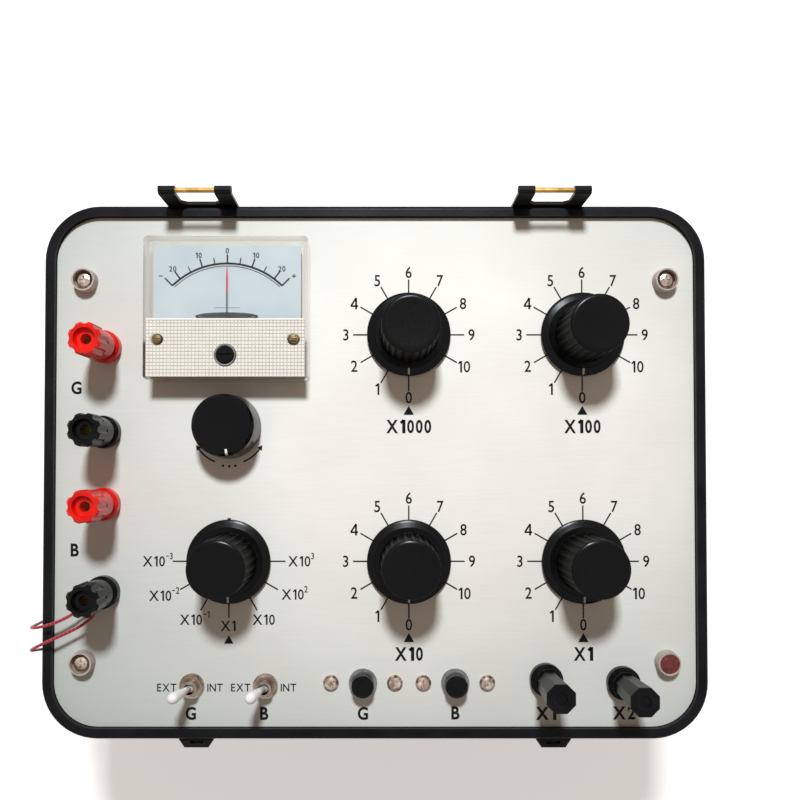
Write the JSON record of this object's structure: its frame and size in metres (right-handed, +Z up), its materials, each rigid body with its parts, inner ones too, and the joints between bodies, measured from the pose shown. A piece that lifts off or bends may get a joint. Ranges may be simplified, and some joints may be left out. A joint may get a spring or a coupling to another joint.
{
  "type": "wheatstone bridge",
  "caption": "Portable resistance bridge: open moulded case with a metal panel that carries a galvanometer, stepped dials, toggles, press keys and binding posts.",
  "frame": {"origin": "middle of the case at the height of the table, under the rubber feet", "axes": "+X to the right of the panel, +Y to the hinge side at the back, +Z up"},
  "size_m": [0.2706, 0.2194, 0.1365],
  "materials": {
    "case_moulding": "fine pebbled black phenolic moulding",
    "rim_moulding": "satin black moulding",
    "panel_sheet": "satin anodised sheet with a faint horizontal grain",
    "ivory_plastic": "ivory moulded plastic",
    "nickel_screw": "nickel plated, slightly tarnished",
    "sealing_wax": "dark red wax",
    "foot_rubber": "black rubber",
    "black_steel": "black enamel",
    "brass_pin": "worn brass",
    "meter_base_plastic": "pale moulded plastic",
    "clear_acrylic": "clear moulded acrylic",
    "dial_card": "pale blue printed plate",
    "magnet_iron": "dark magnet alloy",
    "needle_metal": "red enamel",
    "black_plastic": "black moulded plastic",
    "brass_contact": "turned brass",
    "spool_winding": "silk covered resistance wire",
    "knob_plastic": "glossy black phenolic",
    "steel_shaft": "ground steel",
    "pot_can": "pressed can",
    "toggle_nickel": "nickel plated brass",
    "lever_chrome": "bright plated",
    "collar_grey": "dull plated",
    "red_plastic": "red moulded plastic",
    "post_grey": "charcoal moulded plastic",
    "tray_plastic": "black moulded tray",
    "cell_jacket": "plain printed steel jacket",
    "switch_laminate": "brown phenolic laminate",
    "red_thread": "red twisted thread"
  },
  "bodies": {
    "instrument": {"battery_cells": "cell_jacket", "battery_tray": "tray_plastic", "case_rivets": "black_steel", "case_shell": "case_moulding", "corner_cups": "ivory_plastic", "hinge_leaves": "black_steel", "hinge_pins": "brass_pin", "key_bridges": "brass_contact", "key_collars": "collar_grey", "key_screws": "nickel_screw", "lid_catches": "black_steel", "meter_base": "meter_base_plastic", "meter_cover": "clear_acrylic", "meter_dial": "dial_card", "meter_movement": "magnet_iron", "meter_screws": "nickel_screw", "panel_plate": "panel_sheet", "panel_screws": "nickel_screw", "post_bases_black": "black_plastic", "post_bases_red": "red_plastic", "post_studs": "brass_contact", "red_thread": "red_thread", "resistance_spools": "spool_winding", "rim_moulding": "rim_moulding", "rubber_feet": "foot_rubber", "seal_wax": "sealing_wax", "sensitivity_pot": "pot_can", "switch_contacts": "brass_contact", "switch_nuts": "nickel_screw", "switch_ratio": "switch_laminate", "switch_x1": "switch_laminate", "switch_x10": "switch_laminate", "switch_x100": "switch_laminate", "switch_x1000": "switch_laminate", "toggle_bodies": "toggle_nickel", "toggle_nuts": "toggle_nickel"},
    "dial_x1000": {"knob_x1000": "knob_plastic", "rotor_x1000": "steel_shaft"},
    "dial_x100": {"knob_x100": "knob_plastic", "rotor_x100": "steel_shaft"},
    "dial_x10": {"knob_x10": "knob_plastic", "rotor_x10": "steel_shaft"},
    "dial_x1": {"knob_x1": "knob_plastic", "rotor_x1": "steel_shaft"},
    "dial_ratio": {"knob_ratio": "knob_plastic", "rotor_ratio": "steel_shaft"},
    "sensitivity": {"knob_sensitivity": "knob_plastic", "sensitivity_shaft": "steel_shaft"},
    "needle": {"meter_needle": "needle_metal"},
    "zero_adjuster": {"meter_zero_screw": "black_plastic"},
    "key_g": {"key_cap_g": "black_plastic"},
    "key_b": {"key_cap_b": "black_plastic"},
    "toggle_g": {"toggle_lever_g": "lever_chrome"},
    "toggle_b": {"toggle_lever_b": "lever_chrome"},
    "cap_1": {"post_cap_1": "red_plastic"},
    "cap_2": {"post_cap_2": "black_plastic"},
    "cap_3": {"post_cap_3": "red_plastic"},
    "cap_4": {"post_cap_4": "black_plastic"},
    "cap_x1": {"post_cap_x1": "post_grey"},
    "cap_x2": {"post_cap_x2": "post_grey"}
  },
  "joints": [
    {"name": "turn_x1000", "type": "hinge", "parent": "instrument", "child": "dial_x1000", "pos_m": [0.0135, 0.0545, 0.1055], "axis": [0, 0, 1], "range_deg": [-300, 0]},
    {"name": "turn_x100", "type": "hinge", "parent": "instrument", "child": "dial_x100", "pos_m": [0.083, 0.0545, 0.1055], "axis": [0, 0, 1], "range_deg": [-300, 0]},
    {"name": "turn_x10", "type": "hinge", "parent": "instrument", "child": "dial_x10", "pos_m": [0.0135, -0.0361, 0.1055], "axis": [0, 0, 1], "range_deg": [-300, 0]},
    {"name": "turn_x1", "type": "hinge", "parent": "instrument", "child": "dial_x1", "pos_m": [0.083, -0.0361, 0.1055], "axis": [0, 0, 1], "range_deg": [-300, 0]},
    {"name": "turn_ratio", "type": "hinge", "parent": "instrument", "child": "dial_ratio", "pos_m": [-0.0582, -0.0361, 0.1055], "axis": [0, 0, 1], "range_deg": [-90, 90]},
    {"name": "turn_sensitivity", "type": "hinge", "parent": "instrument", "child": "sensitivity", "pos_m": [-0.0583, 0.0176, 0.1055], "axis": [0, 0, 1], "range_deg": [-150, 150]},
    {"name": "swing_needle", "type": "hinge", "parent": "instrument", "child": "needle", "pos_m": [-0.058, 0.0507, 0.1055], "axis": [0, 0, 1], "range_deg": [-46, 46], "stiffness_Nm_per_rad": 0.00002},
    {"name": "turn_zero_adjuster", "type": "hinge", "parent": "instrument", "child": "zero_adjuster", "pos_m": [-0.058, 0.0449, 0.1175], "axis": [0, 0, 1], "range_deg": [-60, 60]},
    {"name": "press_key_g", "type": "slide", "parent": "instrument", "child": "key_g", "axis": [0, 0, -1], "range_m": [0, 0.003], "stiffness_N_per_m": 250},
    {"name": "press_key_b", "type": "slide", "parent": "instrument", "child": "key_b", "axis": [0, 0, -1], "range_m": [0, 0.003], "stiffness_N_per_m": 250},
    {"name": "throw_toggle_g", "type": "hinge", "parent": "instrument", "child": "toggle_g", "pos_m": [-0.0728, -0.0855, 0.109], "axis": [0, 1, 0], "range_deg": [0, 24]},
    {"name": "throw_toggle_b", "type": "hinge", "parent": "instrument", "child": "toggle_b", "pos_m": [-0.0436, -0.0855, 0.109], "axis": [0, 1, 0], "range_deg": [0, 24]},
    {"name": "unscrew_cap_1", "type": "slide", "parent": "instrument", "child": "cap_1", "axis": [0, 0, 1], "range_m": [0, 0.005]},
    {"name": "unscrew_cap_2", "type": "slide", "parent": "instrument", "child": "cap_2", "axis": [0, 0, 1], "range_m": [0, 0.005]},
    {"name": "unscrew_cap_3", "type": "slide", "parent": "instrument", "child": "cap_3", "axis": [0, 0, 1], "range_m": [0, 0.005]},
    {"name": "unscrew_cap_4", "type": "slide", "parent": "instrument", "child": "cap_4", "axis": [0, 0, 1], "range_m": [0, 0.005]},
    {"name": "unscrew_cap_x1", "type": "slide", "parent": "instrument", "child": "cap_x1", "axis": [0, 0, 1], "range_m": [0, 0.005]},
    {"name": "unscrew_cap_x2", "type": "slide", "parent": "instrument", "child": "cap_x2", "axis": [0, 0, 1], "range_m": [0, 0.005]}
  ]
}
